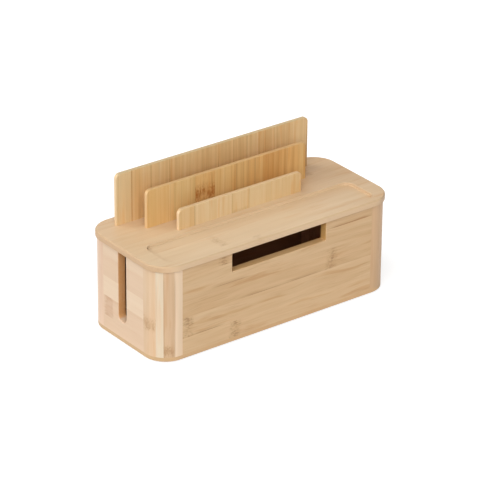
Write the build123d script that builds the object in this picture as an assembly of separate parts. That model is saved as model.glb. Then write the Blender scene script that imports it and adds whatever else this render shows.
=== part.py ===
from build123d import *
import os

# A bamboo cable management box with a lift-off lid, in millimetres.
# X runs along the box, Y from front to back, Z up. The origin is on the surface that the
# box stands on, under the middle of the box.

# Box: four panels between four rounded corner posts, all standing on a bottom board.
body_length = 330.0
body_depth = 139.0
wall_height = 106.3
wall_thickness = 10.2
corner_radius = 28.0
post_straight = 3.0          # how far a post runs on, straight, past its curve
tongue_length = 6.0          # tongue on each panel end, glued into a groove in the post
tongue_thickness = 3.2
wall_top_easing = 0.8        # rounding along the walls' top outer edge
base_thickness = 5.0
base_edge_radius = 0.7

# Feet: thin round anti-slip pads under the bottom board.
foot_diameter = 14.0
foot_height = 1.5
foot_inset = 26.0            # from the box's sides to the middle of a pad

# Cable openings, all open at the top and closed by the lid.
notch_width = 132.5          # long notch in the front panel
notch_depth = 23.5
notch_corner_radius = 1.2
notch_offset = 0.7           # the notch's middle, to the right of the box's middle
slot_width = 15.4            # tall slot in each end panel, round at its bottom
slot_floor_height = 19.6     # from the panel's bottom edge to the slot's lowest point
slot_offset = 2.0            # the slots' middle, behind the box's middle
opening_easing = 0.6         # bevel around the openings

# Lid: one board that overhangs the box, with a shallow tray along its front.
lid_thickness = 7.2
lid_overhang = 2.0
lid_top_radius = 2.0
lid_bottom_radius = 0.4
tray_depth = 3.5
tray_end_rim = 22.0          # from the lid's ends to the tray
tray_front_rim = 10.4        # from the lid's front edge to the tray
tray_land = 10.4             # between the tray and the front divider
tray_corner_radius = 10.0
tray_cove_radius = 1.0       # where the tray's wall runs into its floor
tray_rim_easing = 0.5

# Dividers: three upright boards in grooves in the lid, lower and shorter to the front.
divider_thickness = 5.0
divider_pitch = 25.1
divider_back_land = 17.3     # from the lid's back edge to the back divider
divider_corner_radius = 6.0
divider_easing = 0.9
groove_depth = 3.5
divider_heights = {"back_divider": 63.0, "middle_divider": 46.3, "front_divider": 25.1}

# From the lid's left and right end to each divider's end.
divider_left_insets = {"back_divider": 28.5, "middle_divider": 52.1, "front_divider": 78.0}
divider_right_insets = {"back_divider": 34.3, "middle_divider": 56.5, "front_divider": 82.4}

# Corner blocks under the lid, which keep it in place on the box.
block_leg = 24.0
block_height = 7.0
block_easing = 1.0
block_clearance = 0.6        # between a block and the inside of the box

# Places that follow from the sizes above.
half_length = body_length / 2
half_depth = body_depth / 2
post_leg = corner_radius + post_straight
inner_radius = corner_radius - wall_thickness
walls_bottom = foot_height + base_thickness
walls_top = walls_bottom + wall_height
lid_top = walls_top + lid_thickness
lid_half_length = half_length + lid_overhang
lid_half_depth = half_depth + lid_overhang
past = 5.0                   # how far a cutting shape runs on past the solid it cuts

left_right = {"left": -1, "right": 1}
front_rear = {"front": -1, "rear": 1}


def span_box(x_span, y_span, z_span):
    """A plain box, given by its low and high place on each axis."""
    spans = (sorted(x_span), sorted(y_span), sorted(z_span))
    middle = [(low + high) / 2 for low, high in spans]
    return Pos(*middle) * Box(*[high - low for low, high in spans])


def rounded_block(length, depth, radius, bottom, top):
    """A block with a rounded rectangle as its plan, centred on the Z axis."""
    return Pos(0, 0, bottom) * extrude(RectangleRounded(length, depth, radius), top - bottom)


def edges_of_end(shape, end):
    """The outline edges of a shape's lowest face (end 0) or highest face (end -1)."""
    return shape.faces().sort_by(Axis.Z)[end].edges()


def cut_through(outline, thickness):
    """A cutter with this outline, from Z = 0 up to the thickness, bevelled wider at both faces."""
    flare = extrude(offset(outline, opening_easing), opening_easing, taper=45)
    cutter = Pos(0, 0, -past) * extrude(outline, thickness + 2 * past)
    return cutter + flare + Pos(0, 0, thickness) * mirror(flare, Plane.XY)


def bottom_board():
    """The board that the walls stand on, flush with them, its lower edge rounded over."""
    board = rounded_block(body_length, body_depth, corner_radius, foot_height, walls_bottom)
    return fillet(edges_of_end(board, 0), base_edge_radius)


def foot(side_x, side_y):
    """A round anti-slip pad, near one corner of the bottom board."""
    place = Pos(side_x * (half_length - foot_inset), side_y * (half_depth - foot_inset), 0)
    return place * extrude(Circle(foot_diameter / 2), foot_height)


def wall_ring():
    """The whole wall in one piece, before it is divided into posts and panels."""
    outside = rounded_block(body_length, body_depth, corner_radius, walls_bottom, walls_top)
    outside = fillet(edges_of_end(outside, -1), wall_top_easing)
    hollow = rounded_block(
        body_length - 2 * wall_thickness,
        body_depth - 2 * wall_thickness,
        inner_radius,
        walls_bottom - past,
        walls_top + past,
    )
    return outside - hollow


def tongue(side_x, side_y, along):
    """The tongue that enters one corner post, from the panel that runs along X or Y."""
    z_span = (walls_bottom, walls_top)
    wall_middle = wall_thickness / 2
    if along == "x":
        root = half_length - post_leg
        middle = half_depth - wall_middle
        x_span = (side_x * root, side_x * (root + tongue_length))
        y_span = [side_y * middle + share * tongue_thickness for share in (-0.5, 0.5)]
    else:
        root = half_depth - post_leg
        middle = half_length - wall_middle
        x_span = [side_x * middle + share * tongue_thickness for share in (-0.5, 0.5)]
        y_span = (side_y * root, side_y * (root + tongue_length))
    return span_box(x_span, y_span, z_span)


def corner_post(ring, side_x, side_y):
    """A post with a rounded outside and inside, grooved for the tongues of two panels."""
    corner = span_box(
        (side_x * (half_length - post_leg), side_x * (half_length + past)),
        (side_y * (half_depth - post_leg), side_y * (half_depth + past)),
        (walls_bottom - past, walls_top + past),
    )
    post = ring & corner
    return post - tongue(side_x, side_y, "x") - tongue(side_x, side_y, "y")


def long_panel(ring, side_y):
    """The front or back panel, between two posts, with a tongue at each end."""
    reach = half_length - post_leg
    strip = span_box(
        (-reach, reach),
        (side_y * (half_depth - wall_thickness - past), side_y * (half_depth + past)),
        (walls_bottom - past, walls_top + past),
    )
    return (ring & strip) + [tongue(side_x, side_y, "x") for side_x in (-1, 1)]


def end_panel(ring, side_x):
    """The left or right panel with its cable slot and a tongue at each end."""
    reach = half_depth - post_leg
    strip = span_box(
        (side_x * (half_length - wall_thickness - past), side_x * (half_length + past)),
        (-reach, reach),
        (walls_bottom - past, walls_top + past),
    )
    panel = (ring & strip) + [tongue(side_x, side_y, "y") for side_y in (-1, 1)]
    inner_face = min(side_x * half_length, side_x * (half_length - wall_thickness))
    sketch_plane = Plane((inner_face, slot_offset, 0), x_dir=(0, 1, 0), z_dir=(1, 0, 0))
    return panel - sketch_plane * cut_through(slot_outline(), wall_thickness)


def slot_outline():
    """An upright slot with a round bottom, seen square on, drawn past the top of the wall."""
    radius = slot_width / 2
    round_middle = walls_bottom + slot_floor_height + radius
    height = walls_top + past - round_middle
    upright = Pos(0, round_middle + height / 2) * Rectangle(slot_width, height)
    return upright + Pos(0, round_middle) * Circle(radius)


def notch_outline():
    """A long rectangle with rounded bottom corners, seen square on, past the top of the wall."""
    height = notch_depth + past
    outline = Pos(0, walls_top + past - height / 2) * Rectangle(notch_width, height)
    return fillet(outline.vertices().sort_by(Axis.Y)[:2], notch_corner_radius)


def front_panel(ring):
    """The front panel with its long cable notch."""
    sketch_plane = Plane((notch_offset, wall_thickness - half_depth, 0), x_dir=(1, 0, 0), z_dir=(0, -1, 0))
    return long_panel(ring, -1) - sketch_plane * cut_through(notch_outline(), wall_thickness)


def divider_place(row):
    """The low and high Y of a divider, counted from the back one as row 0."""
    back = lid_half_depth - divider_back_land - row * divider_pitch
    return (back - divider_thickness, back)


def divider_reach(name):
    """The low and high X of a divider."""
    return (divider_left_insets[name] - lid_half_length, lid_half_length - divider_right_insets[name])


def divider(name, row):
    """An upright board with rounded top corners and eased edges, its foot in the lid's groove."""
    top = lid_top + divider_heights[name]
    board = span_box(divider_reach(name), divider_place(row), (lid_top - groove_depth, top))
    top_corners = board.edges().filter_by(Axis.Y).sort_by(Axis.Z)[-2:]
    board = fillet(top_corners, divider_corner_radius)
    foot_level = board.edges().sort_by(Axis.Z)[0].center().Z
    outline = [
        edge
        for face in board.faces().filter_by(Plane.XZ)
        for edge in face.edges()
        if edge.center().Z > foot_level + groove_depth / 2
    ]
    return fillet(outline, divider_easing)


def tray():
    """The hollow of the tray: rounded corners, a cove round its floor and an eased rim."""
    front = tray_front_rim - lid_half_depth
    front_divider_row = len(divider_heights) - 1
    back = divider_place(front_divider_row)[0] - tray_land
    width = back - front
    length = 2 * (lid_half_length - tray_end_rim)
    floor = lid_top - tray_depth
    hollow = rounded_block(length, width, tray_corner_radius, floor, lid_top + past)
    hollow = fillet(edges_of_end(hollow, 0), tray_cove_radius)
    mouth = offset(RectangleRounded(length, width, tray_corner_radius), tray_rim_easing)
    hollow += Pos(0, 0, lid_top) * extrude(mouth, -tray_rim_easing, taper=45)
    return Pos(0, front + width / 2, 0) * hollow


def lid_board():
    """The lid's board: rounded over along its top edge, with the tray and the dividers' grooves."""
    radius = corner_radius + lid_overhang
    board = rounded_block(2 * lid_half_length, 2 * lid_half_depth, radius, walls_top, lid_top)
    board = fillet(edges_of_end(board, -1), lid_top_radius)
    board = fillet(edges_of_end(board, 0), lid_bottom_radius)
    board -= tray()
    for row, name in enumerate(divider_heights):
        board -= span_box(divider_reach(name), divider_place(row), (lid_top - groove_depth, lid_top + past))
    return board


def corner_block(side_x, side_y):
    """A block glued under the lid, its outer corner rounded to nest inside a corner post."""
    outer_x = half_length - wall_thickness - block_clearance
    outer_y = half_depth - wall_thickness - block_clearance
    plug = rounded_block(
        2 * outer_x, 2 * outer_y, inner_radius - block_clearance, walls_top - block_height, walls_top
    )
    plug = chamfer(edges_of_end(plug, 0), block_easing)
    corner = span_box(
        (side_x * (outer_x - block_leg), side_x * (outer_x + past)),
        (side_y * (outer_y - block_leg), side_y * (outer_y + past)),
        (walls_top - block_height - past, walls_top + past),
    )
    return plug & corner


def build():
    """Every piece of the box and its lid, by name."""
    ring = wall_ring()
    pieces = {
        "bottom_board": bottom_board(),
        "front_panel": front_panel(ring),
        "back_panel": long_panel(ring, 1),
    }
    for end, side_x in left_right.items():
        pieces[end + "_end_panel"] = end_panel(ring, side_x)
    for depth, side_y in front_rear.items():
        for end, side_x in left_right.items():
            corner = depth + "_" + end
            pieces[corner + "_post"] = corner_post(ring, side_x, side_y)
            pieces[corner + "_foot"] = foot(side_x, side_y)
            pieces[corner + "_lid_block"] = corner_block(side_x, side_y)
    pieces["lid_board"] = lid_board()
    for row, name in enumerate(divider_heights):
        pieces[name] = divider(name, row)
    return pieces


os.makedirs("parts", exist_ok=True)
for node, solid in build().items():
    export_step(solid, "parts/" + node + ".step")
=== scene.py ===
"""Finishes a bamboo cable management box: its laminated boards, its pads, its light and its camera.

Every length is in metres unless a name or comment says millimetres, in the frame that the CAD
nodes share: X along the box, Y to the back, Z up from the surface that the box stands on.
"""

import logging
import math
from collections.abc import Sequence
from dataclasses import dataclass, replace
from enum import Enum

import bpy
import numpy as np
from mathutils import Matrix, Vector


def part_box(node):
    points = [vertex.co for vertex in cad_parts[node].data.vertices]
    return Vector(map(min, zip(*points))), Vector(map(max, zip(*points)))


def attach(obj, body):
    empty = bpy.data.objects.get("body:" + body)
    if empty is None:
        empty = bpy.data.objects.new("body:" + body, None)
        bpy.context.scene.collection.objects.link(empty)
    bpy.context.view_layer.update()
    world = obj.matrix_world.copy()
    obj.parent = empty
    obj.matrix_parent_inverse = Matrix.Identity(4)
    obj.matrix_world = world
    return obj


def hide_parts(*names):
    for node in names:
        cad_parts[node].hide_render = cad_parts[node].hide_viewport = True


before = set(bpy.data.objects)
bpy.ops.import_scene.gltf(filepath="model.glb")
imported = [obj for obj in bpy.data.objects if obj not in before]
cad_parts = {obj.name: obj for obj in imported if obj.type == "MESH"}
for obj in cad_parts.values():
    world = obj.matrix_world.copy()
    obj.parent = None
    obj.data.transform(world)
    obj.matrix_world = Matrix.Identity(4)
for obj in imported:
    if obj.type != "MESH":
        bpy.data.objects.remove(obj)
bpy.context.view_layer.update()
MM = 0.001
# The box's corners, as the names of the nodes there begin.
CORNERS = ("front_left", "front_right", "rear_left", "rear_right")
# The multiples of the golden ratio's fraction, less their whole parts, spread evenly from 0 to 1.
GOLDEN = 0.618034
# Blender reads a colour ramp from a table with this many steps, and a place that is past one by
# no more than rounding counts as on it.
RAMP_STEPS = 255
ROUNDING = 1e-6
# A Mix node's colour sockets, by number: what it mixes from and towards, and its result.
MIX_FROM, MIX_TO, MIX_RESULT = 6, 7, 2
log = logging.getLogger("cable_box")

Tree = bpy.types.NodeTree
Node = bpy.types.Node
Source = bpy.types.Node | bpy.types.NodeSocket | float
Triple = tuple[float, float, float]


class Axis(Enum):
    """A direction of the shared frame, by its place in a vector."""

    X = 0
    Y = 1
    Z = 2


class End(Enum):
    """An end of the box, by the sign of X there."""

    LEFT = -1
    RIGHT = 1


class Sight(Enum):
    """How a surface comes to be seen, by the Light Path node's name for such a ray."""

    STRAIGHT = "Is Camera Ray"
    MIRRORED = "Is Glossy Ray"
    THROUGH = "Is Transmission Ray"


class Blend(Enum):
    """How a value goes from one stop to the next, by the nodes' name for it."""

    EVEN = "LINEAR"
    SOFT = "SMOOTHSTEP"
    STEPPED = "CONSTANT"


def linear(code: str) -> tuple[float, float, float, float]:
    """Turns an sRGB hex colour into linear red, green and blue with an alpha of 1.

    Args:
        code: Six hex digits, such as "d9b384".

    Returns:
        The colour as Blender's sockets take it.
    """
    shares = [int(code[i:i + 2], 16) / 255 for i in (0, 2, 4)]
    bright = [s / 12.92 if s <= 0.04045 else ((s + 0.055) / 1.055) ** 2.4 for s in shares]
    return (*bright, 1.0)


def add_node(tree: Tree, kind: str, inputs: Sequence | dict = (), **settings: object) -> Node:
    """Adds a shader node with its settings and its links.

    Args:
        tree: The node tree to add to.
        kind: The node's type name, less the ShaderNode that every one begins with.
        inputs: What its inputs take, in their order or by name: a node (its first output), a
            socket, or a plain value. A MapRange node's are a value, the two ends of the range that
            it comes from, and the two that they turn into, 0 and 1 if left out.
        **settings: Properties of the node itself, such as operation.

    Returns:
        The new node.
    """
    node = tree.nodes.new("ShaderNode" + kind)
    for name, value in settings.items():
        setattr(node, name, value)
    for key, value in inputs.items() if isinstance(inputs, dict) else enumerate(inputs):
        source = value.outputs[0] if isinstance(value, bpy.types.Node) else value
        if isinstance(source, bpy.types.NodeSocket):
            tree.links.new(source, node.inputs[key])
        else:
            node.inputs[key].default_value = source
    return node


def set_stops(ramp: Node, stops: list[tuple[float, tuple]], blend: Blend = Blend.EVEN) -> Node:
    """Gives a colour ramp its stops.

    Args:
        ramp: The colour ramp node.
        stops: Position from 0 to 1 and colour of each stop, in order.
        blend: How the ramp goes from stop to stop.

    Returns:
        The same node.
    """
    elements = ramp.color_ramp.elements
    ramp.color_ramp.interpolation = blend.value
    while len(elements) > 1:
        elements.remove(elements[-1])
    elements[0].position, elements[0].color = stops[0]
    for position, colour in stops[1:]:
        elements.new(position).color = colour
    return ramp


def empty_material(name: str) -> bpy.types.Material:
    """Adds a material whose node tree is empty.

    Args:
        name: The material's name.

    Returns:
        The new material.
    """
    material = bpy.data.materials.new(name)
    material.use_nodes = True
    material.node_tree.nodes.clear()
    return material


def add_object(name: str, data: bpy.types.ID) -> bpy.types.Object:
    """Adds an object to the scene, at the origin.

    Args:
        name: The object's name.
        data: Its mesh, lamp or camera.

    Returns:
        The new object.
    """
    thing = bpy.data.objects.new(name, data)
    bpy.context.scene.collection.objects.link(thing)
    return thing


# ---------------------------------------------------------------- finishes


@dataclass(frozen=True)
class Strip:
    """One bamboo strip of a laminated board.

    Attributes:
        start: Where the strip begins, in mm across the grain; it runs to the next one's start.
        tone: From 0, deep, to 1, pale.
        warmth: From 0, straw, to 1, orange.
        knuckle: Where a knuckle crosses it, in mm along the grain; None for a strip without one.
        seam: From where to where the glue line at its start shows dark, in mm along the grain;
            None for one that shows no more than faintly.
    """

    start: float
    tone: float
    warmth: float = 0.3
    knuckle: float | None = None
    seam: tuple[float, float] | None = None


@dataclass(frozen=True)
class Palette:
    """The colours of one board, as sRGB hex.

    Attributes:
        straw: A straw-coloured strip where it is deepest, in the middle and where it is palest.
        orange: An orange strip at the same three tones.
        glue: The glue lines and the stained bundles.
        knuckle: The knuckles' flecks.
        cut: The ends, where the fibres are cut.
        side: The sanded sides of the outer strips; the paler colour on a divider's ends is a
            painted sheen.
        edge: A painted shade on the bevels of eased edges, which keeps their highlight down.
        inside_shade: A painted shade for the walls of a hollow, darker as shade inside.
    """

    straw: tuple[str, str, str] = ("b88d57", "d7b68c", "efd4aa")
    orange: tuple[str, str, str] = ("b67c43", "dbaf7e", "f0cb9c")
    glue: str = "8f6536"
    knuckle: str = "8a5f2e"
    cut: str = "c58f57"
    side: str = "e9c696"
    edge: str = "bfa17b"
    inside_shade: str = "843b16"


@dataclass(frozen=True)
class Fibres:
    """One layer of the fibre pattern: the size of its streaks, in mm, and how strong they are."""

    length: float
    width: float
    depth: float
    weight: float


@dataclass(frozen=True)
class Cloud:
    """A noise that lets a part of the pattern come and go.

    Attributes:
        size: How large its patches are, in mm along, across and through the board.
        low: Its value, from -0.5 to 0.5, at which the part begins to show.
        high: Its value from which the part shows fully.
        detail: How many finer layers it has.
    """

    size: Triple
    low: float
    high: float
    detail: float = 2.0


@dataclass(frozen=True)
class Knuckle:
    """How a knuckle looks: a flecked band where the culm had a joint, and darker flames past it.

    Attributes:
        half_length: How far the band reaches to either side, in mm.
        wander: How far its middle strays along the grain, in mm.
        fleck_length: How long a fleck is, in mm.
        fleck_width: How wide a fleck is, in mm.
        crowd: How closely the flecks stand: single at 0.24, an even patch from 0.6.
        strength: How dark a fleck is, from 0 to 1.
        flame: How far the flames reach, in mm.
        flame_strength: How dark they are, from 0 to 1.
    """

    half_length: float = 7.0
    wander: float = 5.0
    fleck_length: float = 2.8
    fleck_width: float = 1.2
    crowd: float = 0.24
    strength: float = 0.5
    flame: float = 26.0
    flame_strength: float = 0.16

    # The size of the noise that makes the band's outline ragged, in mm.
    RAGGED = (30.0, 8.0, 8.0)
    # Between which values of their noise flecks appear, and how far the wood between them is
    # stained.
    FLECK_EDGES = (0.14, 0.32)
    STAIN = 0.1
    # How much of the way from the band's rim to its middle the flecks take to come up.
    RIM = 0.35
    # Where the band is patchy, and how far it still shows in its palest patches.
    PATCHES = Cloud((30.0, 7.0, 7.0), -0.14, 0.06)
    PALEST = 0.35
    # The flames' tongues.
    TONGUES = Cloud((22.0, 1.8, 4.0), -0.06, 0.14, detail=1.0)


@dataclass(frozen=True)
class GlueLine:
    """How the joint between two strips shows.

    A real line is 0.1 mm wide. It is drawn 0.8 to 1 mm wide, and paler, so that it still shows.

    Attributes:
        width: How wide the line is drawn, in mm.
        bleed: How far its resin bled into the fibres beside it along a seam, in mm.
        strength: How strongly it shows along a seam, from 0 to 1.
        faint: How strongly it shows elsewhere, from 0 to 1.
        stretch: How long the stretches are that it breaks into, in mm.
    """

    width: float = 0.8
    bleed: float = 3.0
    strength: float = 0.5
    faint: float = 0.12
    stretch: float = 45.0

    # How far outside and inside its ends a seam begins to show and shows fully, in mm.
    SEAM_ENDS = (-6.0, 10.0)
    # How dark the bleed is next to the line, against the line's 1.
    BLEED_SHARE = 0.6
    # The width and depth of the line's stretches in mm, between which values of their noise the
    # line comes up, and how far it shows in its palest stretches.
    STRETCH_SECTION = (6.0, 40.0)
    STRETCH_EDGES = (-0.15, 0.1)
    PALEST = 0.5


# Bamboo fibre bundles are 0.2 to 0.5 mm wide. The finest layers are drawn 0.9 and 1.6 mm wide, so
# that they still show when the whole box is in view.
QUIET_GRAIN = (
    Fibres(length=150.0, width=12.0, depth=12.0, weight=0.26),
    Fibres(length=100.0, width=5.5, depth=8.0, weight=0.19),
    Fibres(length=60.0, width=2.2, depth=5.0, weight=0.09),
    Fibres(length=20.0, width=0.9, depth=3.0, weight=0.07),
)
BOLD_GRAIN = (
    Fibres(length=260.0, width=9.0, depth=9.0, weight=0.24),
    Fibres(length=200.0, width=3.6, depth=6.0, weight=0.3),
    Fibres(length=120.0, width=1.6, depth=4.0, weight=0.14),
)


def places_in_mm(tree: Tree) -> list[bpy.types.NodeSocket]:
    """Object coordinates in mm.

    Args:
        tree: The material's node tree.

    Returns:
        Their X, Y and Z.
    """
    place = add_node(tree, "TexCoord").outputs["Object"]
    scaled = add_node(tree, "VectorMath", [place, (1 / MM,) * 3], operation="MULTIPLY")
    return list(add_node(tree, "SeparateXYZ", [scaled]).outputs)


def normal_along(tree: Tree, axis: Axis) -> bpy.types.NodeSocket:
    """The part of the surface's normal that lies along an axis."""
    normal = add_node(tree, "TexCoord").outputs["Normal"]
    return add_node(tree, "SeparateXYZ", [normal]).outputs[axis.value]


def tinted(tree: Tree, colour: Node, share: Source, tint: str) -> Node:
    """The colour mixed towards a tint by a share that varies over the surface."""
    mixed = {0: share, MIX_FROM: colour.outputs[MIX_RESULT], MIX_TO: linear(tint)}
    return add_node(tree, "Mix", mixed, data_type="RGBA")


def noise(tree: Tree, place: Source, size: Triple, detail: float = 2.0) -> Node:
    """Noise from -0.5 to 0.5, so twice a strength times it goes as far as that strength.

    Args:
        tree: The material's node tree.
        place: Where it is read, in mm.
        size: How large its grains are, in mm along, across and through the board.
        detail: How many finer layers it has.

    Returns:
        The noise's value.
    """
    per_mm = tuple(1 / length for length in size)
    drawn = add_node(tree, "VectorMath", [place, per_mm], operation="MULTIPLY")
    value = add_node(tree, "TexNoise", {"Vector": drawn, "Scale": 1.0, "Detail": detail})
    return add_node(tree, "Math", [value, 0.5], operation="SUBTRACT")


def patches(
    tree: Tree, place: Source, cloud: Cloud, least: float = 0.0, most: float = 1.0,
    blend: Blend = Blend.EVEN,
) -> Node:
    """How far a part of the pattern shows where a noise lets it.

    Args:
        tree: The material's node tree.
        place: Where the noise is read, in mm.
        cloud: The noise, and between which of its values the part comes up.
        least: How far the part shows below them.
        most: How far it shows above them.
        blend: How it goes from the one to the other.

    Returns:
        The share, from least to most.
    """
    value = noise(tree, place, cloud.size, cloud.detail)
    return add_node(
        tree, "MapRange", [value, cloud.low, cloud.high, least, most],
        interpolation_type=blend.value,
    )


@dataclass(frozen=True)
class LaminatedBamboo:
    """Laminated bamboo: strips glued side by side, sanded flush and sealed with satin lacquer.

    The pattern is solid: it is worked out from Object coordinates in mm, so each strip runs
    through the board and shows on its faces, edges and ends alike. Strips differ in tone, as
    neighbouring culms do, long fibres run along the grain with a brown smear here and there, a
    flecked knuckle crosses a strip where the culm had a joint, and the ends show the fibres as
    dots.

    Attributes:
        name: The material's name.
        grain: The axis that the fibres run along.
        across: The axis that the strips lie side by side on.
        strips: The strips, in order across the grain.
        end: Where the last strip ends, in mm.
        palette: The board's colours.
        fibres: The layers of the fibre pattern.
        knuckle: How the board's knuckles look.
        glue: How the board's glue lines look.
        contrast: How strongly the fibres show.
        smear: How strongly the brown smears show.
        bundle_share: How far single stained fibre bundles take the palette's colour for glue.
        bundle_length: How long they are, in mm.
        wander: How far the fibres stray sideways, in mm.
        fade: How much deeper its tone gets over its far third along the grain.
        cut_share: How far a cut end takes the palette's colour for it.
        cut_reach: How squarely a face must cut the fibres to take it: 1 square on, 0 along them.
        side_share: How far the side of an outer strip takes the palette's colour for it.
        edge_shade_share: How far the bevels of eased edges take the painted shade that keeps their
            highlight down.
        inside_shade_share: How far a face within the hollow takes the palette's painted shade.
        hollow: The lowest and highest corner of the space whose walls take the painted shade, in
            mm.
        roughness: How matt the lacquer is.
    """

    name: str
    grain: Axis
    across: Axis
    strips: tuple[Strip, ...]
    end: float
    palette: Palette = Palette()
    fibres: tuple[Fibres, ...] = QUIET_GRAIN
    knuckle: Knuckle = Knuckle()
    glue: GlueLine = GlueLine()
    contrast: float = 1.0
    smear: float = 0.14
    bundle_share: float = 0.0
    bundle_length: float = 30.0
    wander: float = 10.0
    fade: float = 0.0
    cut_share: float = 0.6
    cut_reach: float = 0.6
    side_share: float = 0.0
    edge_shade_share: float = 0.0
    inside_shade_share: float = 0.0
    hollow: tuple[Triple, Triple] = ((0.0, 0.0, 0.0), (0.0, 0.0, 0.0))
    roughness: float = 0.46

    # Places along the grain are kept as shares of this span, in mm; 0 lies outside every board.
    SPAN = (-400.0, 400.0)
    # The ends, in mm, of the seam of a glue line without one: it is less than nothing long.
    NO_SEAM = (-400.0, -500.0)
    # A strip whose seed is 1 reads its pattern this far along and through the board, in mm.
    SEED_SHIFT = (3000.0, 170.0)
    # The size of the slow noise that the fibres stray by, in mm.
    DRIFT = (80.0, 40.0, 40.0)
    # Where along the grain its tone begins to get deeper and is deepest, in mm.
    FADE_SPAN = (40.0, 160.0)
    # The size of the warmer patches, in mm, and how warm they and the smears are.
    BLUSH = (90.0, 9.0, 12.0)
    BLUSH_WARMTH = 0.5
    SMEAR_WARMTH = 0.35
    # Where resin stained the fibres brown.
    SMEARS = Cloud((70.0, 6.0, 8.0), 0.05, 0.2, detail=3.0)
    # Stained bundles: their width and depth in mm, between which values of their noise they show,
    # and the width and depth of a group of them, which is 1.5 times as long as they are. A real
    # bundle is 0.5 mm wide at most; it is drawn at 1.1 mm so that it shows.
    BUNDLE_SECTION = (1.1, 6.0)
    BUNDLE_EDGES = (0.05, 0.2)
    GROUP_LENGTH = 1.5
    GROUP_SECTION = (13.0, 20.0)
    GROUP_EDGES = (-0.08, 0.12)
    # How squarely a strip's side must face its axis to take its tint, and how much squarer than
    # its reach a face must be to take a tint fully.
    SIDE_REACH = 0.6
    REACH_RISE = 0.35
    # The cut bundles on an end: how many to the mm, between which distances from its middle a
    # bundle grows paler, and how far the wood between bundles is tinted.
    DOTS_PER_MM = 0.9
    DOT_EDGES = (0.15, 0.6)
    BETWEEN_DOTS = 0.8
    # The relief under the lacquer: how deep it is in mm, how strongly it shows, and how deep the
    # flecks lie against the fibres.
    RELIEF = 0.02
    RELIEF_STRENGTH = 0.5
    FLECK_DEPTH = 0.8
    # The lacquer is rougher over dark fibres and smoother over pale ones, whose pattern's values
    # lie within this much of 0.
    FIBRE_RANGE = 0.3
    ROUGHER = 0.06
    SMOOTHER = 0.04
    LACQUER_IOR = 1.48

    def material(self) -> bpy.types.Material:
        """Builds the material.

        Returns:
            The new material.
        """
        material = empty_material(self.name)
        tree = material.node_tree
        places = places_in_mm(tree)
        thickness = next(axis for axis in Axis if axis not in (self.grain, self.across))
        along, across, through = (
            places[axis.value] for axis in (self.grain, self.across, thickness)
        )
        share = add_node(tree, "MapRange", [across, self.strips[0].start, self.end])
        strip = self.strip_at(tree, share)
        tone, warmth, knuckle_share = add_node(tree, "SeparateColor", [strip]).outputs
        place = self.fibre_place(tree, along, across, through, strip.outputs["Alpha"])
        streaks = self.streaks(tree, place)
        smears = patches(tree, place, self.SMEARS, blend=Blend.SOFT)
        band, flame = self.knuckles(tree, along, place, knuckle_share)
        shade = self.shade(tree, along, tone, streaks, smears, flame)
        warmth = self.warmth(tree, place, warmth, smears)
        palette = self.palette
        colour = self.wood_colour(tree, shade, warmth)
        if self.bundle_share:
            colour = tinted(tree, colour, self.bundles(tree, place), palette.glue)
        glue = self.glue_lines(tree, share, along, place)
        colour = tinted(tree, colour, glue, palette.glue)
        colour = tinted(tree, colour, band, palette.knuckle)
        colour = tinted(tree, colour, self.cut_ends(tree, across, through), palette.cut)
        if self.side_share:
            side = self.facing(tree, self.across, self.SIDE_REACH)
            side = add_node(tree, "Math", [side, self.side_share], operation="MULTIPLY")
            colour = tinted(tree, colour, side, palette.side)
        # Painted shade: the bevels of eased edges are darkened so that they don't light up.
        if self.edge_shade_share:
            colour = tinted(tree, colour, self.edge_shade_mask(tree, thickness), palette.edge)
        # Painted shade: faces within the hollow are darkened, standing in for the shade there.
        if self.inside_shade_share:
            colour = tinted(tree, colour, self.inside(tree, places), palette.inside_shade)
        self.surface(tree, colour, streaks, band)
        return material

    def position(self, strip: Strip) -> float:
        """How far across the board a strip starts, from 0 for the first to 1 at the board's end."""
        first = self.strips[0].start
        return (strip.start - first) / (self.end - first)

    def strip_at(self, tree: Tree, share: Source) -> Node:
        """Looks up the strip at a place.

        Args:
            tree: The material's node tree.
            share: How far across the board the place is, from 0 to 1.

        Returns:
            A ramp whose red is the strip's tone, green its warmth, blue its knuckle's place as a
            share of SPAN, and alpha a seed of its own.
        """
        low, high = self.SPAN
        stops = []
        for number, strip in enumerate(self.strips):
            place = 0.0 if strip.knuckle is None else (strip.knuckle - low) / (high - low)
            seed = ((number + 1) * GOLDEN) % 1
            stops.append((self.position(strip), (strip.tone, strip.warmth, place, seed)))
        return set_stops(add_node(tree, "ValToRGB", [share]), stops, Blend.STEPPED)

    def fibre_place(
        self, tree: Tree, along: Source, across: Source, through: Source, seed: Source
    ) -> Node:
        """The place that the fibre patterns are read at.

        Each strip is shifted by its seed, so that no streak crosses a glue line, and the fibres
        wander sideways along their length.

        Args:
            tree: The material's node tree.
            along: The place in mm along the grain.
            across: The place in mm across it.
            through: The place in mm through the board.
            seed: The strip's seed.

        Returns:
            The place as a vector.
        """
        far, deep = self.SEED_SHIFT
        shifted = add_node(tree, "Math", [seed, far, along], operation="MULTIPLY_ADD")
        deeper = add_node(tree, "Math", [seed, deep, through], operation="MULTIPLY_ADD")
        slow = add_node(tree, "CombineXYZ", [shifted, across, deeper])
        drift = noise(tree, slow, self.DRIFT, detail=1.0)
        strayed = add_node(tree, "Math", [drift, self.wander, across], operation="MULTIPLY_ADD")
        return add_node(tree, "CombineXYZ", [shifted, strayed, deeper])

    def streaks(self, tree: Tree, place: Source) -> Node:
        """The weighted sum of the fibre layers, each a noise drawn out along the grain.

        Args:
            tree: The material's node tree.
            place: The place that the fibre patterns are read at.

        Returns:
            The sum, which lies about 0.
        """
        total = 0.0
        for layer in self.fibres:
            value = noise(tree, place, (layer.length, layer.width, layer.depth))
            total = add_node(
                tree, "Math", [value, 2 * layer.weight, total], operation="MULTIPLY_ADD"
            )
        return total

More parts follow.
